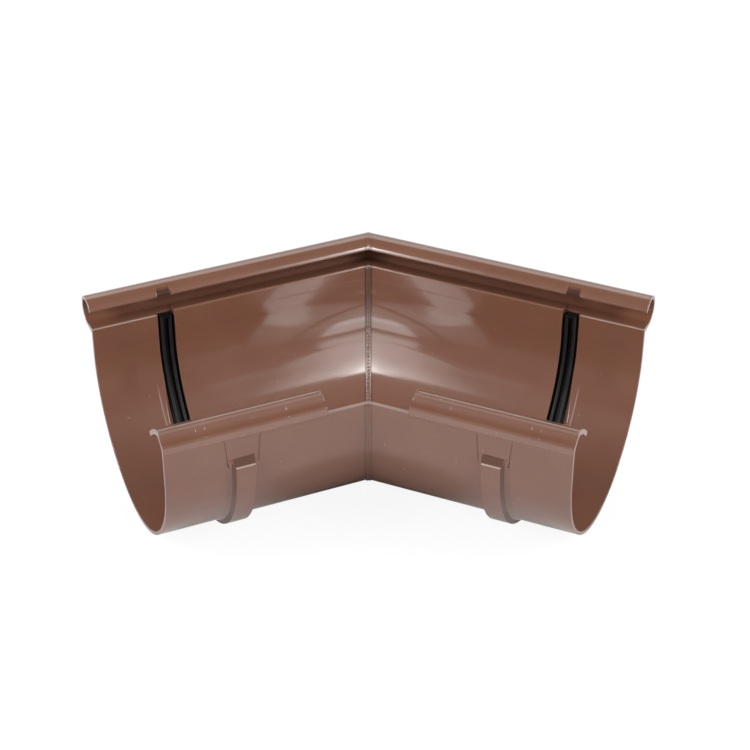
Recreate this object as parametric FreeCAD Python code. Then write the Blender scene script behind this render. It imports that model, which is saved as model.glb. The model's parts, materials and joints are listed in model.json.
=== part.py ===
import FreeCAD
import Part
import math
import os

# Sizes in mm and degrees. Along is measured on the trough's centre line from the mitre, across from that
# line towards the front bead, and heights from the centre of the half-round bottom.
corner_angle = 135.0
arm_length = 130.5
socket_radius = 60.6
wall = 1.8
stop_step = 1.0
outer_step = 0.3

# The groove for the seal, and the band that it pushes out of the wall.
groove_along = 90.7
groove_width = 9.0
band_rise = 3.2
band_draft = 0.8
flank_length = 4.0
flank_knee_length = 1.4
flank_knee_rise = 0.8
flank_lap = 0.3
flare_length = 4.4
flare_drop = 5.0
near_groove_top = 2.5
near_band_top = 3.7
near_ramp = 3.8
near_band_round = 3.4

# The rolled front bead, an open curl on a shelf.
bead_across = 68.1
bead_height = 21.3
bead_radius = 8.5
bead_open_angle = 147.0
shelf_height = 15.9
shelf_step = 1.5
shelf_round = 1.0
notch_along = 90.1
notch_width = 6.6
notch_flare = 0.8
notch_across = 64.0

# The hooked rear rim: the wall leans in to a shoulder, hollows up to a crest, and a lip comes down.
near_wall_height = 20.5
rim_start = 46.4
rim_round = 4.0
lean_across = 60.0
lean_height = 23.2
shoulder_across = 58.4
shoulder_height = 24.6
shoulder_bow = 0.3
rim_hollow = 1.0
crest_across = 53.6
crest_height = 30.4
crest_round = 1.3
lip_reach = 14.0
lip_drop = 10.3
lip_thickness = 2.6
lip_bow = 0.9
lip_root = 3.6
back_bow = 0.8

# The two fine scores in the rear wall over the band.
score_width = 0.5
score_depth = 0.25
score_top = 19.0
score_foot = 3.2
score_foot_spread = 7.8
score_top_spread = 9.2

# The weld along the mitre.
weld_half_width = 1.7
weld_half_crown = 0.9
weld_rise = 0.6

# The seal, a flat strip with two ridges.
seal_side_gap = 0.2
seal_floor_gap = 0.15
seal_proud = 0.9
seal_base = 1.4
seal_ridge_offset = 2.1
seal_ridge_foot = 3.0
seal_ridge_crest = 1.4
seal_far_top = 14.4
seal_near_gap = 0.3
seal_end = 2.4
seal_end_round = 2.6

# Everything below follows from the sizes above.
half_angle = math.radians(corner_angle / 2)
AXIS = FreeCAD.Vector(-math.sin(half_angle), -math.cos(half_angle), 0)
ACROSS = FreeCAD.Vector(-math.cos(half_angle), math.sin(half_angle), 0)
UP = FreeCAD.Vector(0, 0, 1)
ORIGIN = FreeCAD.Vector(0, 0, 0)
X_AXIS = FreeCAD.Vector(1, 0, 0)
Y_AXIS = FreeCAD.Vector(0, 1, 0)

socket_inside = socket_radius - wall
middle_radius = socket_radius - outer_step
middle_inside = socket_inside - stop_step
band_radius = socket_radius + band_rise
groove_radius = band_radius - wall
stop = groove_along - groove_width / 2
groove_end = groove_along + groove_width / 2
face_start = stop - band_draft
face_end = groove_end + flank_lap
band_start = face_start - band_draft
band_end = face_end + flank_length
under_bead = bead_height - bead_radius
past_mitre = -(bead_across + bead_radius)
weld_reach = middle_radius / math.sin(half_angle) + weld_rise
weld_depth = middle_radius + weld_rise
room = 4 * arm_length
same_point = wall / 1000


def point(along, across, height):
    """Place of a point of the left arm, with the arms level and the mitre's centre at the origin."""
    return AXIS * along + ACROSS * across + UP * height


def bowed(start, end, bow):
    """Arc step from start to end whose middle stands off the straight run, to its left if bow is positive."""
    run_x = end[0] - start[0]
    run_y = end[1] - start[1]
    share = bow / math.hypot(run_x, run_y)
    middle = ((start[0] + end[0]) / 2 - run_y * share, (start[1] + end[1]) / 2 + run_x * share)
    return (middle, end)


def outline(plane, steps):
    """Closed wire in a plane: a point is a straight run, a pair of points an arc through the first."""
    edges = []
    first = plane(steps[0])
    last = first
    for item in steps[1:]:
        if isinstance(item[0], tuple):
            end = plane(item[1])
            edges.append(Part.Arc(last, plane(item[0]), end).toShape())
        else:
            end = plane(item)
            edges.append(Part.LineSegment(last, end).toShape())
        last = end
    if last.distanceToPoint(first) > same_point:
        edges.append(Part.LineSegment(last, first).toShape())
    return Part.Wire(edges)


def face(plane, steps):
    """Flat face with a closed outline."""
    return Part.Face(outline(plane, steps))


def across_plane(along):
    """Plane across the arm, for outlines of across and height."""
    return lambda p: point(along, p[0], p[1])


def wall_plane(side):
    """Level plane through the centre line, for outlines of along and radius, far (1) or near (-1)."""
    return lambda p: point(p[0], side * p[1], 0)


def side_plane(p):
    """Plane beside the arm on the near side, for outlines of along and height."""
    return point(p[0], -room, p[1])


def run(steps, start, end):
    """Solid with one section of across and height from start to end along the arm."""
    return face(across_plane(start), steps).extrude(AXIS * (end - start))


def block(start, end, inner, outer, low, high):
    """Straight block of the arm between these bounds along, across and in height."""
    corners = [(start, inner), (end, inner), (end, outer), (start, outer)]
    return face(lambda p: point(p[0], p[1], low), corners).extrude(UP * (high - low))


def on_bead(angle, radius):
    """Point of the bead's section at an angle and a radius from its centre."""
    turn = math.radians(angle)
    return (bead_across + radius * math.cos(turn), bead_height + radius * math.sin(turn))


def band_flanks():
    """Outside of the band along the arm: a steep flank, the face, and a flank that eases into the socket."""
    return [
        (band_start, middle_radius),
        (face_start, band_radius),
        (face_end, band_radius),
        (face_end + flank_knee_length, socket_radius + flank_knee_rise),
        (band_end, socket_radius),
    ]


def banded_wall():
    """Outline of the wall along the arm, with the band outside and the groove inside."""
    return [
        (past_mitre, middle_radius),
        *band_flanks(),
        (arm_length, socket_radius),
        (arm_length, socket_inside),
        (groove_end, socket_inside),
        (groove_end, groove_radius),
        (stop, groove_radius),
        (stop, middle_inside),
        (past_mitre, middle_inside),
    ]


def plain_wall():
    """Outline of the wall along the arm over the band: outside it only thickens to the socket."""
    return [
        (past_mitre, middle_radius),
        (band_start, middle_radius),
        (band_end, socket_radius),
        (arm_length, socket_radius),
        (arm_length, socket_inside),
        (stop, socket_inside),
        (stop, middle_inside),
        (past_mitre, middle_inside),
    ]


def trough():
    """Half-round bottom and both walls, with a flare into the groove that fades out up both sides."""
    far_face = face(wall_plane(1), banded_wall())
    bowl = far_face.revolve(ORIGIN, AXIS, 180)
    far_wall = far_face.extrude(UP * under_bead)
    near_low = face(wall_plane(-1), banded_wall()).extrude(UP * near_groove_top)
    near_high = face(wall_plane(-1), plain_wall()).extrude(UP * (near_wall_height - near_groove_top))
    near_high.translate(UP * near_groove_top)
    low_centre = point(groove_end, 0, -flare_drop)
    foot = groove_radius - flare_drop
    mouth = socket_inside - flare_drop
    flare = Part.makeCone(foot, mouth, flare_length, low_centre, AXIS)
    return bowl.multiFuse([far_wall, near_low, near_high, near_band()]).cut(flare)


def near_band():
    """Upper end of the band on the near wall, closed by a sloping top that is round at one corner."""
    ramp_top = near_band_top + near_ramp
    corners = [*band_flanks(), (band_end, socket_inside), (band_start, socket_inside)]
    body = face(wall_plane(-1), corners).extrude(UP * ramp_top)
    bend = near_band_round * (1 - math.sqrt(0.5))
    side_view = [
        (band_start, 0),
        (band_end, 0),
        (band_end, ramp_top - near_band_round),
        ((band_end - bend, ramp_top - bend), (band_end - near_band_round, ramp_top)),
        (band_start, ramp_top),
    ]
    body = body.common(face(side_plane, side_view).extrude(ACROSS * room))
    under_ramp = [
        (-socket_inside, near_groove_top),
        (-band_radius, near_groove_top),
        (-band_radius, near_band_top),
        (-socket_radius, ramp_top),
        (-socket_inside, ramp_top),
    ]
    return body.common(run(under_ramp, band_start, band_end))


def bead_section(inside, edge_height):
    """Section of the shelf and the curl over a wall with this inner face."""
    inner = bead_radius - wall
    tip = bead_radius - wall / 2
    tip_turn = math.degrees(wall / 2 / tip)
    edge = edge_height - shelf_round
    bend = shelf_round * (1 - math.sqrt(0.5))
    return [
        on_bead(bead_open_angle, inner),
        (on_bead(bead_open_angle + tip_turn, tip), on_bead(bead_open_angle, bead_radius)),
        (on_bead(0, bead_radius), on_bead(-90, bead_radius)),
        (inside, under_bead),
        (inside, edge),
        ((inside + bend, edge_height - bend), (inside + shelf_round, edge_height)),
        on_bead(-90, inner),
        (on_bead(0, inner), on_bead(bead_open_angle, inner)),
    ]


def bead():
    """Shelf and curl along the front, with the notch over the groove and the groove's slot in the shelf."""
    middle = run(bead_section(middle_inside, shelf_height + shelf_step), past_mitre, stop)
    socket = run(bead_section(socket_inside, shelf_height), stop, arm_length)
    back = bead_across - bead_radius - wall
    slope = notch_flare / (notch_across - on_bead(bead_open_angle, bead_radius)[0])
    half_top = notch_width / 2
    half_foot = half_top + slope * (notch_across - back)
    corners = [(-half_foot, back), (half_foot, back), (half_top, notch_across), (-half_top, notch_across)]
    notch_face = face(lambda p: point(notch_along + p[0], p[1], bead_height), corners)
    notch = notch_face.extrude(UP * (bead_radius + wall))
    slot = block(stop, groove_end, 0, groove_radius, 0, shelf_height + shelf_step)
    return middle.fuse(socket).cut(notch).cut(slot)


def rim():
    """Hooked rim on the near wall, with a rounded end towards the mitre."""
    crest = FreeCAD.Vector(-crest_across, crest_height, 0)
    rise = (crest - FreeCAD.Vector(-shoulder_across, shoulder_height, 0)).normalize()
    fall = FreeCAD.Vector(lip_reach, -lip_drop, 0).normalize()
    under = FreeCAD.Vector(fall.y, -fall.x, 0)
    tip = crest + FreeCAD.Vector(lip_reach, -lip_drop, 0)

    def flat(v):
        return (v.x, v.y)

    lean = (-lean_across, lean_height)
    shoulder = (-shoulder_across, shoulder_height)
    before = flat(crest - rise * crest_round)
    after = flat(crest + fall * crest_round)
    heel = flat(tip + under * lip_thickness)
    pit = flat(crest + under * lip_thickness + fall * lip_root)
    inner_foot = (-socket_inside, near_wall_height)
    section = [
        (-socket_inside, near_wall_height - wall),
        (-socket_radius, near_wall_height - wall),
        (-socket_radius, near_wall_height),
        lean,
        bowed(lean, shoulder, shoulder_bow),
        bowed(shoulder, before, -rim_hollow),
        bowed(before, after, crest_round / 2),
        bowed(after, flat(tip), lip_bow),
        bowed(flat(tip), heel, lip_thickness / 2),
        bowed(heel, pit, -lip_bow),
        bowed(pit, inner_foot, -back_bow),
    ]
    bend = rim_round * (1 - math.sqrt(0.5))
    side_view = [
        (rim_start, 0),
        (room, 0),
        (room, crest_height),
        (rim_start + rim_round, crest_height),
        ((rim_start + bend, crest_height - bend), (rim_start, crest_height - rim_round)),
    ]
    return run(section, rim_start, arm_length).common(face(side_plane, side_view).extrude(ACROSS * room))


def scores():
    """Two shallow cuts in the near wall over the band, spreading upwards."""
    cuts = []
    half = score_width / 2
    for way, radius in ((1, socket_radius), (-1, middle_radius)):
        top = groove_along + way * score_top_spread
        foot = groove_along + way * score_foot_spread
        corners = [
            (foot - half, score_foot),
            (foot + half, score_foot),
            (top + half, score_top),
            (top - half, score_top),
        ]
        cutter = face(lambda p: point(p[0], -radius - wall, p[1]), corners)
        cuts.append(cutter.extrude(ACROSS * (wall + score_depth)))
    return cuts


def weld_ring(aside, rise):
    """Outline of the weld in the plane this far beside the mitre, proud of both faces of the wall by rise."""
    centre = X_AXIS * -aside - Y_AXIS * (aside / math.tan(half_angle))
    near_top = UP * (near_wall_height - weld_rise)
    far_top = UP * shelf_height
    edges = []
    tops = []
    for radius, stand in ((middle_radius, rise), (middle_inside, -rise)):
        reach = Y_AXIS * (radius / math.sin(half_angle) + stand)
        curve = Part.Ellipse(centre + reach, centre + UP * (radius + stand), centre)
        near = centre - reach
        far = centre + reach
        edges += [
            Part.LineSegment(near + near_top, near).toShape(),
            Part.Arc(curve, math.pi, 2 * math.pi).toShape(),
            Part.LineSegment(far, far + far_top).toShape(),
        ]
        tops.append((near + near_top, far + far_top))
    edges += [Part.LineSegment(outer, inner).toShape() for outer, inner in zip(*tops)]
    return Part.Wire(Part.__sortEdges__(edges))


def weld():
    """Material squeezed out along the mitre, the left arm's half of it."""
    edge = weld_ring(weld_half_width, -weld_rise / 2)
    crown = weld_ring(weld_half_crown, weld_rise)
    mitre = weld_ring(0, weld_rise)
    return Part.makeLoft([edge, crown, mitre], True, True)


def arm():
    """The whole left arm, cut at the mitre, with its half of the weld."""
    body = trough().multiFuse([bead(), rim()])
    for cut in scores():
        body = body.cut(cut)
    left_side = Part.makeBox(room, 2 * room, 2 * room)
    left_side.translate(FreeCAD.Vector(-room, -room, -room))
    return body.common(left_side).fuse(weld()).removeSplitter()


def seal():
    """Rubber strip in the left arm's groove, with two ridges that meet at its closed upper end."""
    start = stop + seal_side_gap
    end = groove_end - seal_side_gap
    floor = groove_radius - seal_floor_gap
    base = floor - seal_base
    top = socket_inside - seal_proud
    ridges = []
    for way in (1, -1):
        middle = groove_along + way * seal_ridge_offset
        ridges += [
            (middle + seal_ridge_foot / 2, base),
            (middle + seal_ridge_crest / 2, top),
            (middle - seal_ridge_crest / 2, top),
            (middle - seal_ridge_foot / 2, base),
        ]
    strip = [(start, base), (start, floor), (end, floor), (end, base)]
    far_face = face(wall_plane(1), strip + ridges)
    bowl = far_face.revolve(ORIGIN, AXIS, 180)
    far = far_face.extrude(UP * (seal_far_top - seal_end))
    near = face(wall_plane(-1), strip + ridges).extrude(UP * (near_groove_top - seal_near_gap))
    cap = face(wall_plane(1), strip + ridges[:2] + ridges[-2:]).extrude(UP * seal_end)
    cap.translate(UP * (seal_far_top - seal_end))
    bend = seal_end_round * (1 - math.sqrt(0.5))
    side_view = [
        (start, 0),
        (end, 0),
        (end, seal_far_top),
        (start + seal_end_round, seal_far_top),
        ((start + bend, seal_far_top - bend), (start, seal_far_top - seal_end_round)),
    ]
    end_trim = face(side_plane, side_view).extrude(ACROSS * 2 * room)
    upper = far.fuse(cap).common(end_trim)
    return bowl.multiFuse([upper, near]).removeSplitter()


def rest_pitch():
    """Angle in degrees by which the arms lean forward as they stand on both bands and the weld."""
    level = math.cos(half_angle)
    drop = (weld_reach ** 2 - weld_depth ** 2) / weld_depth
    second = (band_radius * level ** 2 + drop) / 2
    first = face_start * level
    sine = (math.sqrt(first ** 2 + 4 * second * (band_radius - weld_depth)) - first) / (2 * second)
    return math.degrees(math.asin(sine))


left_arm = arm()
left_seal = seal()
nodes = {
    "left_arm": left_arm,
    "right_arm": left_arm.mirror(ORIGIN, X_AXIS),
    "left_seal": left_seal,
    "right_seal": left_seal.mirror(ORIGIN, X_AXIS),
}
for shape in nodes.values():
    shape.rotate(ORIGIN, X_AXIS, -rest_pitch())
box = nodes["left_arm"].optimalBoundingBox()
shift = FreeCAD.Vector(0, -(box.YMin + box.YMax) / 2, -box.ZMin)
os.makedirs("parts", exist_ok=True)
for name, shape in nodes.items():
    shape.translate(shift)
    shape.exportStep("parts/" + name + ".step")
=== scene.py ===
"""Looks of a half-round gutter corner that turns outwards: its finishes, seals, weld and studio."""

from __future__ import annotations

import json
import logging
import math
import random
from dataclasses import dataclass, replace
from enum import Enum
from typing import Any

import bmesh
import bpy
from mathutils import Matrix, Quaternion, Vector

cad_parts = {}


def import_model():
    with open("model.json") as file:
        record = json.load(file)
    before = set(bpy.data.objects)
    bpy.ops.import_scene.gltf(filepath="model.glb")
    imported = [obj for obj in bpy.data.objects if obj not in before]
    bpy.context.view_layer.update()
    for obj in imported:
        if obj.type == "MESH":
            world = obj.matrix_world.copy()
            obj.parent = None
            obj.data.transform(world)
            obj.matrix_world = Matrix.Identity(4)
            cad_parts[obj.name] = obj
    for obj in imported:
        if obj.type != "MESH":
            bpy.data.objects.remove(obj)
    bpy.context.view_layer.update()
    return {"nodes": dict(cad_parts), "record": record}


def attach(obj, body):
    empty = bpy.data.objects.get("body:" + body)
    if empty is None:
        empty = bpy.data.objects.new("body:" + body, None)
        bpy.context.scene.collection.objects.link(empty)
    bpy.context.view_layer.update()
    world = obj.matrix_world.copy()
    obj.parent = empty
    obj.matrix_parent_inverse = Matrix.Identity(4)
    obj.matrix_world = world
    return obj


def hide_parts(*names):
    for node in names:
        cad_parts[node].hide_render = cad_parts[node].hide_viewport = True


LOG = logging.getLogger("gutter_corner")
Colour = tuple[float, float, float]
Span = tuple[float, float]
MM = 0.001
BODY = "root"
WHITE: Colour = (1.0, 1.0, 1.0)
NOISE_MIDDLE = 0.5
# Places of the Mix node's sockets for colours.
MIX_FIRST = 6
MIX_SECOND = 7
MIX_RESULT = 2
# Width in mm of the soft step between the two halves of the trough.
SIDE_STEP = 1.0
# Metres within which vertices become one, and degrees from which an edge is sharp.
MERGE_DISTANCE = 1e-7
SHARP_ANGLE = 40.0
# Roll in degrees of the soft box on the right.
BOX_LEAN = -21.0


class Side(Enum):
    """The two arms of the corner, named as they lie in the frame."""

    LEFT = "left"
    RIGHT = "right"


class Slot(Enum):
    """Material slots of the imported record."""

    PLASTIC = "brown_plastic"
    RUBBER = "black_rubber"


@dataclass(frozen=True)
class ArmFrame:
    """Corner point and directions of one arm, in the row frame.

    Along runs from the mitre to the mouth, across towards the front bead, and up out of the trough.
    """

    corner: Vector
    along: Vector
    across: Vector
    up: Vector

    @classmethod
    def from_record(cls, record: dict[str, Any], side: Side) -> ArmFrame:
        """Works the directions out from the two socket mounts.

        Args:
            record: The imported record.
            side: The arm that is wanted.

        Returns:
            The arm's own frame.
        """
        mounts = {mount["name"]: mount for mount in record["mounts"]}
        axes = {each: Vector(mounts[each.value + "_socket"]["axis"]).normalized() for each in Side}
        mouth = Vector(mounts[side.value + "_socket"]["pos_m"])
        along = axes[side]
        up = axes[Side.LEFT].cross(axes[Side.RIGHT]).normalized()
        across = up.cross(along)
        if across.y < 0:
            across = -across
        return cls(mouth - along * (mouth.x / along.x), along, across, up)

    def matrix(self) -> Matrix:
        """Matrix from along, across and up in mm to the row frame in metres."""
        turn = Matrix((self.along, self.across, self.up)).transposed().to_4x4()
        return Matrix.Translation(self.corner) @ turn @ Matrix.Scale(MM, 4)


@dataclass(frozen=True)
class Grain:
    """A noise pattern: how many features lie on a metre, and how many finer layers it has."""

    scale: float
    detail: float = 2.0


class Value:
    """A number in a shader, with Python's operators."""

    def __init__(self, shader: Shader, socket: bpy.types.NodeSocket) -> None:
        """Keeps the shader and the output socket that gives the number."""
        self.shader = shader
        self.socket = socket

    def _maths(self, operation: str, first: Any, second: Any = 0.0) -> Value:
        """Adds a Math node on two values or numbers."""
        return self.shader.add("ShaderNodeMath", {"operation": operation}, {0: first, 1: second})

    def __add__(self, other: Any) -> Value:
        """Sum."""
        return self._maths("ADD", self, other)

    def __radd__(self, other: Any) -> Value:
        """Sum, with the number first."""
        return self._maths("ADD", other, self)

    def __sub__(self, other: Any) -> Value:
        """Difference."""
        return self._maths("SUBTRACT", self, other)

    def __rsub__(self, other: Any) -> Value:
        """Difference, with the number first."""
        return self._maths("SUBTRACT", other, self)

    def __mul__(self, other: Any) -> Value:
        """Product."""
        return self._maths("MULTIPLY", self, other)

    def __rmul__(self, other: Any) -> Value:
        """Product, with the number first."""
        return self._maths("MULTIPLY", other, self)

    def __abs__(self) -> Value:
        """Absolute value."""
        return self._maths("ABSOLUTE", self)

    def sign(self) -> Value:
        """Minus one below 0 and one above it."""
        return self._maths("SIGN", self)

    def at_most(self, limit: float) -> Value:
        """The lesser of the value and a limit."""
        return self._maths("MINIMUM", self, limit)

    def within(self, low: float, high: float, soft: float) -> Value:
        """One from low to high, and 0 beyond a soft edge on each side."""
        return self.rise(low - soft, low) * self.rise(high + soft, high)

    def rise(self, low: float, high: float) -> Value:
        """Smooth step from 0 at low to 1 at high, which may be below low for a step down."""
        inputs = {"Value": self, "From Min": low, "From Max": high}
        return self.shader.add("ShaderNodeMapRange", {"interpolation_type": "SMOOTHSTEP"}, inputs)

    def near(self, place: float, half_width: float) -> Value:
        """Soft line that is 1 at a place and 0 at half_width from it."""
        return abs(self - place).rise(half_width, 0.0)


class Shader:
    """Nodes of one material or world."""

    def __init__(self, owner: bpy.types.Material | bpy.types.World) -> None:
        """Starts with an empty node tree.

        Args:
            owner: The material or world that the nodes belong to.
        """
        owner.use_nodes = True
        self.owner = owner
        self.tree = owner.node_tree
        self.tree.nodes.clear()

    def node(self, kind: str, settings: dict | None = None, inputs: dict | None = None) -> bpy.types.Node:
        """Adds one node.

        Args:
            kind: The node's type.
            settings: Its own settings, which are set first.
            inputs: Values, links or numbers of its sockets, by name or place.

        Returns:
            The node.
        """
        node = self.tree.nodes.new(kind)
        for name, setting in (settings or {}).items():
            setattr(node, name, setting)
        for key, given in (inputs or {}).items():
            if isinstance(given, Value):
                self.tree.links.new(given.socket, node.inputs[key])
            else:
                node.inputs[key].default_value = given
        return node

    def add(
        self, kind: str, settings: dict | None = None, inputs: dict | None = None, output: Any = 0
    ) -> Value:
        """Adds one node and gives one of its outputs, by name or place."""
        return Value(self, self.node(kind, settings, inputs).outputs[output])

    def vector(
        self, operation: str, first: Any, second: Any = (0.0, 0.0, 0.0), output: str = "Vector"
    ) -> Value:
        """Adds a Vector Math node on one or two vectors."""
        return self.add("ShaderNodeVectorMath", {"operation": operation}, {0: first, 1: second}, output)

    def scaled(self, way: Vector, amount: Value) -> Value:
        """Fixed direction, made longer by an amount that varies."""
        return self.add("ShaderNodeVectorMath", {"operation": "SCALE"}, {0: way, "Scale": amount})

    def noise(self, place: Value, grain: Grain) -> Value:
        """Noise from 0 to 1, about its middle."""
        inputs = {"Vector": place, "Scale": grain.scale, "Detail": grain.detail}
        return self.add("ShaderNodeTexNoise", {"normalize": True}, inputs, "Fac")

    def mix(self, share: Value, first: Any, second: Any) -> Value:
        """Colour between two colours, by a share of the second."""
        inputs = {0: share, MIX_FIRST: first, MIX_SECOND: second}
        return self.add("ShaderNodeMix", {"data_type": "RGBA"}, inputs, MIX_RESULT)

    def bump(self, height: Value, normal: Value | None = None) -> Value:
        """Normal of a surface with a relief on it.

        Args:
            height: Height of the relief, in metres.
            normal: Normal under the relief, where it isn't the surface's own.

        Returns:
            The normal.
        """
        inputs = {"Strength": 1.0, "Distance": 1.0, "Height": height}
        if normal is not None:
            inputs["Normal"] = normal
        return self.add("ShaderNodeBump", None, inputs)

    def finish(self, surface: Value) -> Any:
        """Joins the surface to the output.

        Args:
            surface: The shader that shows.

        Returns:
            The finished material or world.
        """
        world = isinstance(self.owner, bpy.types.World)
        kind = "ShaderNodeOutputWorld" if world else "ShaderNodeOutputMaterial"
        self.node(kind, None, {"Surface": surface})
        return self.owner


def opaque(colour: Colour) -> tuple[float, float, float, float]:
    """Colour with full alpha, as a colour socket takes it."""
    return (*colour, 1.0)


class ArmPlace:
    """Where a point of the surface lies on its arm, in mm, with the right arm folded onto the left one."""

    def __init__(self, shader: Shader, arm: ArmFrame) -> None:
        """Adds the nodes that fold the point and measure it.

        Args:
            shader: The finish that reads the place.
            arm: The left arm's frame.
        """
        self.shader = shader
        self.arm = arm
        self.point = shader.add("ShaderNodeTexCoord", None, None, "Object")
        sideways = shader.add("ShaderNodeSeparateXYZ", None, {0: self.point}, "X")
        self.mirror = shader.add("ShaderNodeCombineXYZ", None, {0: sideways.sign() * -1.0, 1: 1.0, 2: 1.0})
        ahead = shader.vector("SUBTRACT", self.fold(self.point), arm.corner)
        self.beside = abs(sideways) * (1.0 / MM)
        self.along, self.across, self.height = (
            shader.vector("DOT_PRODUCT", ahead, way / MM, "Value") for way in (arm.along, arm.across, arm.up)
        )
        section = shader.add("ShaderNodeCombineXYZ", None, {0: self.across, 1: self.height.at_most(0.0)})
        self.radius = shader.vector("LENGTH", section, output="Value")

    def fold(self, way: Value) -> Value:
        """Mirrors a vector of the right arm, and leaves one of the left arm."""
        return self.shader.vector("MULTIPLY", way, self.mirror)

    def facing(self, way: Vector) -> Value:
        """Cosine between the surface's own normal and a direction of the arm."""
        normal = self.shader.add("ShaderNodeNewGeometry", None, None, "Normal")
        return self.shader.vector("DOT_PRODUCT", self.fold(normal), way, "Value")

    def front(self) -> Value:
        """One on the bead's half of the trough, and 0 on the rim's half."""
        return self.across.rise(0.0, SIDE_STEP)

    def rear(self) -> Value:
        """One on the rim's half of the trough, and 0 on the bead's half."""
        return self.across.rise(0.0, -SIDE_STEP)


@dataclass(frozen=True)
class BrownPlastic:
    """Glossy moulded plastic, with faint flow marks, a mould line, dust, painted highlights on its edges,
    painted shade on the band's flank and ramp, and a rough weld with painted shade along it.

    Places and widths on the arm are in mm. The rounding of edges and the heights of the relief are in metres,
    as the shader takes them.
    """

    colour: Colour = (0.190, 0.077, 0.045)
    pale: Colour = (0.205, 0.086, 0.052)
    mottle_grain: Grain = Grain(35.0, 4.0)
    mottle_step: Span = (0.35, 0.75)
    # Colour of the dust specks, and also of the painted highlights on edges.
    dust_and_highlight: Colour = (0.55, 0.46, 0.42)
    dust_share: float = 0.25
    speck_grain: Grain = Grain(700.0, 0.0)
    speck_step: Span = (0.85, 0.89)
    roughness: float = 0.09
    roughness_spread: float = 0.03
    ior: float = 1.75
    haze: float = 0.6
    haze_roughness: float = 0.5
    edge_round: float = 0.0005
    edge_samples: int = 6
    wave_grain: Grain = Grain(55.0, 1.0)
    wave_height: float = 0.00002
    peel_grain: Grain = Grain(900.0)
    peel_height: float = 0.0000012
    mould_line_height: float = 9.0
    mould_line_half: float = 0.22
    mould_line_along: Span = (38.0, 19.0)
    mould_line_raise: float = 0.00003
    slide_marks: tuple[float, ...] = (66.1, 107.7, 112.4)
    slide_mark_half: float = 0.2
    slide_mark_height: Span = (20.6, 21.6)
    flank: Span = (95.5, 96.9)
    flank_facing: Span = (0.45, 0.65)
    flank_tilt: float = 2.6
    ramp: Span = (4.3, 7.5)
    ramp_along: Span = (85.0, 96.0)
    ramp_across: float = -60.3
    ramp_facing: Span = (0.3, 0.5)
    ramp_tilt: float = 0.35
    # Painted highlight along the ramp's front edge.
    ramp_edge: float = 3.8
    ramp_edge_half: float = 0.6
    ramp_edge_along: Span = (85.6, 95.4)
    ramp_edge_highlight: float = 0.75
    soft: float = 0.15
    # Painted shade on the band's flank and ramp.
    painted_shade_share: float = 0.8
    painted_shade_colour: Colour = (0.085, 0.029, 0.011)
    # Painted highlights along the rim's crest, the seam under it, the shelf's edge and the flare's edge.
    crest: float = 30.1
    crest_highlight: float = 0.5
    seam: float = 20.6
    seam_half: float = 0.3
    seam_step: Span = (0.4, 0.7)
    seam_highlight: float = 0.18
    seam_plain: float = 0.2
    seam_along: Span = (44.0, 46.0)
    shelf_edge: float = 15.4
    shelf_edge_half: float = 0.5
    shelf_across: Span = (58.0, 60.6)
    shelf_along: Span = (95.5, 97.0)
    shelf_highlight: float = 0.5
    flare_edge: float = 99.4
    flare_edge_half: float = 0.6
    flare_height: Span = (-42.0, -32.0)
    flare_fade: float = 9.0
    flare_highlight: float = 0.5
    weld_pale: Colour = (0.25, 0.14, 0.105)
    # Colour of the painted shade along the weld and over its upper crown, and of its faint dark joint line
    # outside.
    weld_dark: Colour = (0.06, 0.024, 0.015)
    weld_half: float = 1.7
    weld_border: float = 0.6
    weld_inside: float = 58.6
    weld_outside: float = 59.6
    weld_turn: float = -20.0
    weld_faint: float = 0.3
    weld_shade: float = 0.5
    weld_bump: float = 0.00006
    bead_grain: Grain = Grain(620.0, 3.0)
    bead_step: Span = (0.42, 0.6)

    def _flank(self, spot: ArmPlace) -> Value:
        """One on the flank of the band that faces the socket's mouth."""
        facing = spot.facing(spot.arm.along).rise(*self.flank_facing)
        return spot.along.within(*self.flank, self.soft) * facing

    def _ramp(self, spot: ArmPlace) -> Value:
        """One on the ramp over the band on the near wall.

        Args:
            spot: Where the point lies.

        Returns:
            The share, from 0 to 1.
        """
        ramp = spot.height.within(*self.ramp, self.soft) * spot.along.within(*self.ramp_along, self.soft)
        ramp = ramp * spot.across.rise(self.ramp_across + self.soft, self.ramp_across)
        return ramp * spot.facing(spot.arm.up).rise(*self.ramp_facing)

    def _painted_highlights(self, spot: ArmPlace, beads: Value, inside: Value) -> Value:
        """Share of painted highlight on the edges that stand out.

        Args:
            spot: Where the point lies.
            beads: Fine noise, which breaks up the painted highlight along the seam under the rim.
            inside: One on the inside of the trough.

        Returns:
            The share, from 0 to 1.
        """
        rear = spot.rear()
        edge = spot.height.near(self.ramp_edge, self.ramp_edge_half)
        edge = edge * spot.along.within(*self.ramp_edge_along, self.soft)
        edge = edge * spot.across.rise(self.ramp_across, self.ramp_across - self.ramp_edge_half)
        crest = spot.height.rise(self.crest - self.soft, self.crest + self.soft) * rear
        seam = spot.height.near(self.seam, self.seam_half) * rear * beads.rise(*self.seam_step)
        seam = seam * (self.seam_plain + spot.along.rise(*self.seam_along) * (1.0 - self.seam_plain))
        shelf = spot.height.near(self.shelf_edge, self.shelf_edge_half)
        shelf = shelf * spot.across.within(*self.shelf_across, self.soft) * spot.along.rise(*self.shelf_along)
        flare = spot.along.near(self.flare_edge, self.flare_edge_half) * inside * spot.front()
        flare = flare * spot.height.within(*self.flare_height, self.flare_fade)
        share = edge * self.ramp_edge_highlight + crest * self.crest_highlight + seam * self.seam_highlight
        share = share + shelf * self.shelf_highlight + flare * self.flare_highlight
        return share.at_most(1.0)

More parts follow.
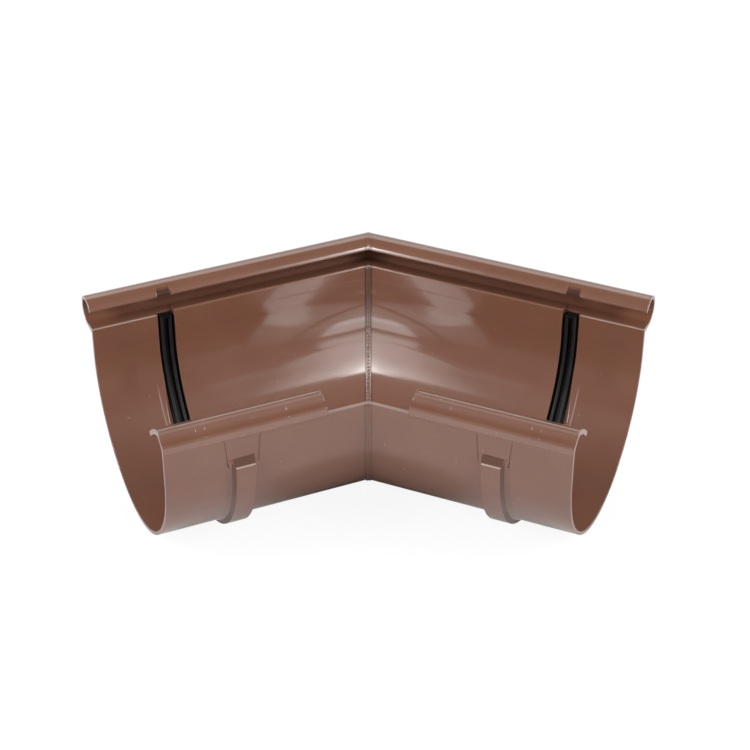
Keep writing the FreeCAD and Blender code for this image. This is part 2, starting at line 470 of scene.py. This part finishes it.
    def _colour(self, spot: ArmPlace, mottle: Value, beads: Value, weld: Value, steep: Value) -> Value:
        """Colour of the plastic with its dust, painted highlights on edges, painted shade on the band, and
        the weld with its painted shade.

        Args:
            spot: Where the point lies.
            mottle: Broad noise of the moulding.
            beads: Fine noise of the weld.
            weld: One on the weld.
            steep: One on the band's flank and ramp, which take a painted shade.

        Returns:
            The colour.
        """
        inside = spot.radius.rise(self.weld_outside, self.weld_inside)
        low = spot.height.rise(self.weld_turn + self.weld_half, self.weld_turn - self.weld_half)
        crown = weld * inside
        chain = crown * low
        border = spot.beside.near(self.weld_half, self.weld_border)
        # Painted shade along the weld's borders inside and over its crown's upper half; outside, a faint dark
        # joint line.
        shade = border * (inside + self.weld_faint).at_most(1.0) + (crown - chain) * self.weld_shade
        specks = spot.shader.noise(spot.point, self.speck_grain).rise(*self.speck_step)
        layers = (
            (mottle.rise(*self.mottle_step), self.pale),
            (specks * self.dust_share, self.dust_and_highlight),
            (chain * beads.rise(*self.bead_step), self.weld_pale),
            # Painted shade on the band's flank and ramp.
            (steep * self.painted_shade_share, self.painted_shade_colour),
            # Painted highlights on the edges that stand out.
            (self._painted_highlights(spot, beads, inside), self.dust_and_highlight),
            # Painted shade and faint joint line on the weld.
            (shade.at_most(1.0), self.weld_dark),
        )
        colour: Any = opaque(self.colour)
        for share, tint in layers:
            colour = spot.shader.mix(share, colour, opaque(tint))
        return colour

    def _relief(self, spot: ArmPlace, beads: Value, weld: Value) -> Value:
        """Fine relief of the moulding, its mould line and slide marks, and the weld.

        Args:
            spot: Where the point lies.
            beads: Fine noise of the weld.
            weld: One on the weld.

        Returns:
            The height in metres.
        """
        waves = spot.shader.noise(spot.point, self.wave_grain) - NOISE_MIDDLE
        peel = spot.shader.noise(spot.point, self.peel_grain) - NOISE_MIDDLE
        line = spot.height.near(self.mould_line_height, self.mould_line_half) * spot.front()
        line = line * spot.along.rise(*self.mould_line_along)
        marks = sum(spot.along.near(mark, self.slide_mark_half) for mark in self.slide_marks)
        marks = marks * spot.height.rise(*self.slide_mark_height) * spot.rear()
        relief = waves * self.wave_height + peel * self.peel_height
        return relief + (line - marks) * self.mould_line_raise + weld * beads * self.weld_bump

    def _normal(self, spot: ArmPlace, flank: Value, ramp: Value) -> Value:
        """Normal with soft edges, a steep flank on the band and a flatter ramp over it.

        Args:
            spot: Where the point lies.
            flank: One on the band's flank.
            ramp: One on the ramp.

        Returns:
            The normal, before the fine relief.
        """
        shader = spot.shader
        rounded = shader.add("ShaderNodeBevel", {"samples": self.edge_samples}, {"Radius": self.edge_round})
        steeper = shader.scaled(spot.arm.along, flank * self.flank_tilt)
        flatter = shader.scaled(spot.arm.up, ramp * self.ramp_tilt)
        tilt = shader.vector("ADD", steeper, flatter)
        turned = spot.fold(shader.vector("ADD", spot.fold(rounded), tilt))
        return shader.vector("NORMALIZE", turned)

    def material(self, arm: ArmFrame) -> bpy.types.Material:
        """Builds the material.

        Args:
            arm: The left arm's frame, which the pattern is mirrored from.

        Returns:
            The finished material.
        """
        shader = Shader(bpy.data.materials.new(Slot.PLASTIC.value + "_finish"))
        spot = ArmPlace(shader, arm)
        mottle = shader.noise(spot.point, self.mottle_grain)
        beads = shader.noise(spot.point, self.bead_grain)
        weld = spot.beside.rise(self.weld_half, self.weld_half / 2)
        flank = self._flank(spot)
        ramp = self._ramp(spot)
        steep = (flank + ramp).at_most(1.0)
        rough = self.roughness + (mottle - NOISE_MIDDLE) * self.roughness_spread
        inputs = {
            "Base Color": self._colour(spot, mottle, beads, weld, steep),
            "Roughness": rough + weld * self.roughness,
            "IOR": self.ior,
            "Normal": shader.bump(self._relief(spot, beads, weld), self._normal(spot, flank, ramp)),
            "Coat Weight": self.haze,
            "Coat Roughness": self.haze_roughness,
        }
        return shader.finish(shader.add("ShaderNodeBsdfPrincipled", None, inputs))


@dataclass(frozen=True)
class BlackRubber:
    """Smooth extruded rubber with a faint bloom. The height of its grain is in metres."""

    colour: Colour = (0.004, 0.004, 0.0042)
    bloom: Colour = (0.008, 0.008, 0.009)
    cloud_grain: Grain = Grain(160.0, 3.0)
    cloud_step: Span = (0.45, 0.8)
    roughness: float = 0.45
    roughness_spread: float = 0.12
    ior: float = 1.38
    fine_grain: Grain = Grain(1500.0)
    fine_height: float = 0.000006

    def material(self) -> bpy.types.Material:
        """Builds the material.

        Returns:
            The finished material.
        """
        shader = Shader(bpy.data.materials.new(Slot.RUBBER.value + "_finish"))
        place = shader.add("ShaderNodeTexCoord", None, None, "Object")
        cloud = shader.noise(place, self.cloud_grain)
        fine = shader.noise(place, self.fine_grain) - NOISE_MIDDLE
        inputs = {
            "Base Color": shader.mix(cloud.rise(*self.cloud_step), opaque(self.colour), opaque(self.bloom)),
            "Roughness": self.roughness + (cloud - NOISE_MIDDLE) * self.roughness_spread,
            "IOR": self.ior,
            "Normal": shader.bump(fine * self.fine_height),
        }
        return shader.finish(shader.add("ShaderNodeBsdfPrincipled", None, inputs))


@dataclass(frozen=True)
class PaleFloor:
    """Matt white table top, which shows as white where nothing shades it.

    It mirrors as white away from the part, and darker in the angle between the arms, where its reflections
    show a painted shade. Distances are in metres.
    """

    colour: Colour = (0.6, 0.6, 0.605)
    # Painted shade that the floor shows only in reflections, in the angle between the arms.
    mirrored_shade_colour: Colour = (0.25, 0.25, 0.252)
    mirrored_shade_middle: tuple[float, float, float] = (0.0, -0.055, 0.0)
    mirrored_shade: Span = (0.065, 0.028)
    roughness: float = 0.7
    seen_white: float = 0.8
    near_white: float = 0.12
    far: Span = (0.18, 0.27)
    far_white: float = 0.8
    white: float = 1.13

    def material(self) -> bpy.types.Material:
        """Builds the material.

        Returns:
            The finished material.
        """
        shader = Shader(bpy.data.materials.new("pale_floor_finish"))
        point = shader.add("ShaderNodeTexCoord", None, None, "Object")
        away = shader.vector("LENGTH", point, output="Value")
        mirrored_shade = shader.vector("DISTANCE", point, self.mirrored_shade_middle, "Value").rise(*self.mirrored_shade)
        mirrored = (1.0 - mirrored_shade) * self.near_white + away.rise(*self.far) * self.far_white
        seen, glossy, through = (
            shader.add("ShaderNodeLightPath", None, None, ray)
            for ray in ("Is Camera Ray", "Is Glossy Ray", "Is Transmission Ray")
        )
        # Reflections see a painted shade on the floor between the arms.
        colour = shader.mix(mirrored_shade * glossy, opaque(self.colour), opaque(self.mirrored_shade_colour))
        surface = {"Base Color": colour, "Roughness": self.roughness}
        matt = shader.add("ShaderNodeBsdfPrincipled", None, surface)
        glow = shader.add("ShaderNodeEmission", None, {"Strength": self.white})
        share = seen * self.seen_white + (glossy + through) * mirrored
        return shader.finish(shader.add("ShaderNodeMixShader", None, {0: share, 1: matt, 2: glow}))


def mesh_piece(name: str, bm: bmesh.types.BMesh, material: bpy.types.Material) -> bpy.types.Object:
    """Makes an object at the origin from a bmesh, smooth except at sharp edges.

    Args:
        name: The piece's name.
        bm: The shape in the row frame, which is freed.
        material: The piece's finish.

    Returns:
        The linked object.
    """
    bmesh.ops.remove_doubles(bm, verts=bm.verts[:], dist=MERGE_DISTANCE)
    bmesh.ops.recalc_face_normals(bm, faces=bm.faces[:])
    for face in bm.faces:
        face.smooth = True
    mesh = bpy.data.meshes.new(name)
    bm.to_mesh(mesh)
    bm.free()
    mesh.set_sharp_from_angle(angle=math.radians(SHARP_ANGLE))
    mesh.materials.append(material)
    piece = bpy.data.objects.new(name, mesh)
    bpy.context.scene.collection.objects.link(piece)
    return piece


def new_verts(result: dict[str, Any]) -> list[bmesh.types.BMVert]:
    """Vertices among what an extrusion made."""
    return [item for item in result["geom"] if isinstance(item, bmesh.types.BMVert)]


def new_edges(result: dict[str, Any]) -> list[bmesh.types.BMEdge]:
    """Edges among what an extrusion made."""
    return [item for item in result["geom"] if isinstance(item, bmesh.types.BMEdge)]


@dataclass
class Arms:
    """The two moulded arms, which keep their own solids."""

    nodes: dict[str, bpy.types.Object]

    def dress(self, finish: bpy.types.Material) -> list[bpy.types.Object]:
        """Gives both arms the plastic's finish.

        Args:
            finish: The plastic.

        Returns:
            The two arms.
        """
        arms = [self.nodes[side.value + "_arm"] for side in Side]
        for arm in arms:
            for slot in arm.material_slots:
                slot.material = finish
        return arms


@dataclass
class SealStrip:
    """Rubber strip in one socket's groove, with two round ridges that join at its upper end. Sizes in mm."""

    side: Side
    arm: ArmFrame
    middle: float = 90.7
    width: float = 8.6
    floor_radius: float = 61.85
    base: float = 1.4
    ridge_height: float = 2.55
    ridge_offset: float = 2.1
    ridge_foot: float = 3.0
    ridge_crest: float = 1.4
    far_top: float = 14.4
    near_top: float = 2.2
    end_round: float = 2.6
    end_steps: int = 8
    valley_fill: float = 2.0
    turn_steps: int = 96
    crest_bevel: float = 0.62
    foot_bevel: float = 0.3
    bevel_steps: int = 5
    slack: float = 0.1

    def _section(self, bm: bmesh.types.BMesh) -> list[bmesh.types.BMEdge]:
        """Starts with the section as a ring at the foot of the strip's rounded end.

        Args:
            bm: The shape to start.

        Returns:
            The ring's edges.
        """
        base = self.floor_radius - self.base
        crest = base - self.ridge_height
        half = self.width / 2
        low = self.far_top - self.end_round
        steps = [(-half, base), (-half, self.floor_radius), (half, self.floor_radius), (half, base)]
        for way in (1, -1):
            ridge = way * self.ridge_offset
            steps += [
                (ridge + self.ridge_foot / 2, base),
                (ridge + self.ridge_crest / 2, crest),
                (ridge - self.ridge_crest / 2, crest),
                (ridge - self.ridge_foot / 2, base),
            ]
        verts = [bm.verts.new((self.middle + along, radius, low)) for along, radius in steps]
        bm.faces.new(verts)
        crests = [vert for vert in verts if abs(vert.co.y - crest) < self.slack]
        feet = [vert for vert in verts if vert not in crests]
        for corners, offset in ((crests, self.crest_bevel), (feet, self.foot_bevel)):
            bmesh.ops.bevel(
                bm, geom=corners, offset=offset, affect="VERTICES", segments=self.bevel_steps, profile=0.5,
                material=-1,
            )
        section = max(bm.faces, key=lambda face: face.calc_area())
        ring = list(section.edges)
        bmesh.ops.delete(bm, geom=bm.faces[:], context="FACES_ONLY")
        return ring

    def _end(self, bm: bmesh.types.BMesh, ring: list[bmesh.types.BMEdge]) -> None:
        """Carries the ring up to the closed end, with the valley filled and one corner round.

        Args:
            bm: The shape so far.
            ring: Edges of the section at the foot of the end.
        """
        base = self.floor_radius - self.base
        crest = base - self.ridge_height
        start = self.middle - self.width / 2
        low = self.far_top - self.end_round
        edges = ring
        for step in range(1, self.end_steps + 1):
            turn = math.pi / 2 * step / self.end_steps
            result = bmesh.ops.extrude_edge_only(bm, edges=edges)
            edges = new_edges(result)
            least = start + self.end_round * (1 - math.cos(turn))
            share = min(1.0, self.valley_fill * math.sin(turn))
            for vert in new_verts(result):
                vert.co.z = low + self.end_round * math.sin(turn)
                vert.co.x = max(vert.co.x, least)
                between = abs(vert.co.x - self.middle) < self.ridge_offset
                if between and vert.co.y < self.floor_radius - self.slack:
                    vert.co.y += (crest - vert.co.y) * share
        bmesh.ops.contextual_create(bm, geom=edges)

    def build(self, finish: bpy.types.Material) -> bpy.types.Object:
        """Builds the strip, which stands for the plain one.

        Args:
            finish: The rubber.

        Returns:
            The finished piece.
        """
        bm = bmesh.new()
        ring = self._section(bm)
        down = bmesh.ops.extrude_edge_only(bm, edges=ring)
        for vert in new_verts(down):
            vert.co.z = 0.0
        turned = bmesh.ops.spin(
            bm, geom=new_edges(down), cent=(0, 0, 0), axis=(1, 0, 0), angle=-math.pi,
            steps=self.turn_steps, use_merge=False,
        )
        last = [item for item in turned["geom_last"] if isinstance(item, bmesh.types.BMEdge)]
        up = bmesh.ops.extrude_edge_only(bm, edges=last)
        for vert in new_verts(up):
            vert.co.z = self.near_top
        bmesh.ops.contextual_create(bm, geom=new_edges(up))
        self._end(bm, ring)
        bmesh.ops.transform(bm, matrix=self.arm.matrix(), verts=bm.verts[:])
        node = self.side.value + "_seal"
        piece = mesh_piece(self.side.value + "_seal_strip", bm, finish)
        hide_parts(node)
        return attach(piece, BODY)


@dataclass
class WeldChain:
    """Small beads that the weld left on its crown inside the trough, from the far wall to the near one.

    Sizes in mm. Angles in degrees, from level on the far side, through the bottom.
    """

    arm: ArmFrame
    reach: float = 61.9
    depth: float = 57.2
    start: float = 20.0
    end: float = 176.0
    pitch: float = 1.9
    half_width: float = 1.0
    half_length: float = 0.8
    crown: float = 0.45
    uneven: float = 0.18
    ball_levels: int = 2
    seed: int = 7

    def build(self, finish: bpy.types.Material) -> bpy.types.Object:
        """Builds the chain of beads.

        Args:
            finish: The plastic.

        Returns:
            The finished piece.
        """
        chance = random.Random(self.seed)
        sweep = math.radians(self.end - self.start)
        count = round(sweep * (self.reach + self.depth) / 2 / self.pitch)
        bm = bmesh.new()
        for index in range(count):
            turn = math.radians(self.start) + sweep * index / (count - 1)
            aside, wide, long = (chance.uniform(-self.uneven, self.uneven) for _ in range(3))
            point = Vector((aside, self.reach * math.cos(turn), -self.depth * math.sin(turn)))
            outward = Vector((0.0, point.y / self.reach ** 2, point.z / self.depth ** 2))
            size = (self.half_width * (1 + wide), self.half_length * (1 + long), self.crown, 1.0)
            place = Matrix.Translation(point) @ outward.to_track_quat("Z", "Y").to_matrix().to_4x4()
            shape = place @ Matrix.Diagonal(size)
            bmesh.ops.create_icosphere(bm, subdivisions=self.ball_levels, radius=1.0, matrix=shape)
        sideways = Vector((1.0, 0.0, 0.0))
        level = Matrix((sideways, self.arm.up.cross(sideways), self.arm.up)).transposed().to_4x4()
        mitre = Matrix.Translation(self.arm.corner) @ level @ Matrix.Scale(MM, 4)
        bmesh.ops.transform(bm, matrix=mitre, verts=bm.verts[:])
        piece = mesh_piece("weld_chain", bm, finish)
        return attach(piece, BODY)


@dataclass(frozen=True)
class SoftBox:
    """One soft area lamp of the studio, aimed at the object's middle.

    Angles and sizes are in degrees as seen from there, and the distance is in metres. Azimuth is to the right
    of the camera's side, roll leans the lamp's top, and bright is the lamp's own radiance, where 1 is white.
    """

    name: str
    azimuth: float
    elevation: float
    width: float
    height: float
    bright: float
    roll: float = 0.0
    distance: float = 1.2
    target: tuple[float, float, float] = (0.0, 0.0, 0.05)

    def on(self, side: Side) -> SoftBox:
        """Gives the lamp a side's name, and mirrors it for the left side.

        Args:
            side: Where the lamp hangs.

        Returns:
            The lamp on that side.
        """
        name = f"{side.value}_{self.name}"
        way = -1.0 if side is Side.LEFT else 1.0
        return replace(self, name=name, azimuth=way * self.azimuth, roll=way * self.roll)

    def build(self) -> None:
        """Adds the lamp."""
        turn = math.radians(self.azimuth)
        lift = math.radians(self.elevation)
        way = Vector((math.sin(turn) * math.cos(lift), -math.cos(turn) * math.cos(lift), math.sin(lift)))
        data = bpy.data.lights.new(self.name, "AREA")
        data.shape = "RECTANGLE"
        data.size = 2 * self.distance * math.tan(math.radians(self.width) / 2)
        data.size_y = 2 * self.distance * math.tan(math.radians(self.height) / 2)
        data.energy = math.pi * self.bright * data.size * data.size_y
        lamp = bpy.data.objects.new(self.name, data)
        lamp.location = Vector(self.target) + way * self.distance
        lean = Quaternion((0.0, 0.0, 1.0), math.radians(self.roll))
        lamp.rotation_euler = (way.to_track_quat("Z", "Y") @ lean).to_euler()
        lamp.visible_camera = False
        bpy.context.scene.collection.objects.link(lamp)


@dataclass
class Studio:
    """Pale table, soft lamps and the camera. The side lamps are given as they hang on the right."""

    table: float = 30.0
    sky: float = 0.1
    eye: tuple[float, float, float] = (0.0, -0.81604, 0.77758)
    target: tuple[float, float, float] = (0.0, 0.03303, 0.03043)
    lens: float = 100.8
    sideways: float = 0.0088
    side_lamps: tuple[SoftBox, ...] = (
        SoftBox("box_edge", azimuth=67, elevation=24.5, width=46, height=43, bright=0.9, roll=BOX_LEAN),
        SoftBox("box_panel", azimuth=67, elevation=25, width=42, height=39, bright=1.2, roll=BOX_LEAN),
        SoftBox("box_middle", azimuth=67, elevation=30, width=34, height=27, bright=1.7, roll=BOX_LEAN),
        SoftBox("box_core", azimuth=67.5, elevation=40, width=23, height=14, bright=10.5, roll=BOX_LEAN),
        SoftBox("low_strip", azimuth=51, elevation=0, width=26, height=12, bright=2.2, distance=0.42),
    )
    room_lamps: tuple[SoftBox, ...] = (
        SoftBox("back_box", azimuth=180, elevation=36, width=70, height=28, bright=1.6),
        SoftBox("back_wall", azimuth=180, elevation=11, width=100, height=20, bright=0.55),
        SoftBox("front_card", azimuth=0, elevation=18, width=84, height=44, bright=0.2),
    )

    def _floor(self) -> None:
        """Lays the table top at the object's foot."""
        bm = bmesh.new()
        bmesh.ops.create_grid(bm, x_segments=1, y_segments=1, size=self.table / 2)
        mesh_piece("table_top", bm, PaleFloor().material())

    def _sky(self) -> None:
        """Fills the room with even light."""
        shader = Shader(bpy.data.worlds.new("studio_room"))
        light = {"Color": opaque(WHITE), "Strength": self.sky}
        bpy.context.scene.world = shader.finish(shader.add("ShaderNodeBackground", None, light))

    def _lamps(self) -> None:
        """Hangs a leaning soft box on each side, brighter to its middle, and lights the back and front."""
        pairs = [lamp.on(side) for side in Side for lamp in self.side_lamps]
        for lamp in (*pairs, *self.room_lamps):
            lamp.build()

    def _camera(self) -> None:
        """Sets the camera at the photograph's viewing angle."""
        data = bpy.data.cameras.new("camera")
        data.lens = self.lens
        data.shift_x = self.sideways
        camera = bpy.data.objects.new("camera", data)
        camera.location = self.eye
        aim = Vector(self.target) - Vector(self.eye)
        camera.rotation_euler = aim.to_track_quat("-Z", "Y").to_euler()
        bpy.context.scene.collection.objects.link(camera)
        bpy.context.scene.camera = camera

    def build(self) -> None:
        """Builds the whole studio."""
        self._floor()
        self._sky()
        self._lamps()
        self._camera()
        bpy.context.scene.view_settings.view_transform = "Standard"


def main() -> None:
    """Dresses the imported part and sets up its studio."""
    logging.basicConfig(level=logging.INFO, format="%(name)s: %(message)s")
    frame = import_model()
    arms = {side: ArmFrame.from_record(frame["record"], side) for side in Side}
    plastic = BrownPlastic().material(arms[Side.LEFT])
    rubber = BlackRubber().material()
    for arm in Arms(frame["nodes"]).dress(plastic):
        LOG.info("dressed %s", arm.name)
    for side in Side:
        piece = SealStrip(side, arms[side]).build(rubber)
        LOG.info("built %s", piece.name)
    weld = WeldChain(arms[Side.LEFT]).build(plastic)
    LOG.info("built %s", weld.name)
    Studio().build()


if __name__ == "__main__":
    main()
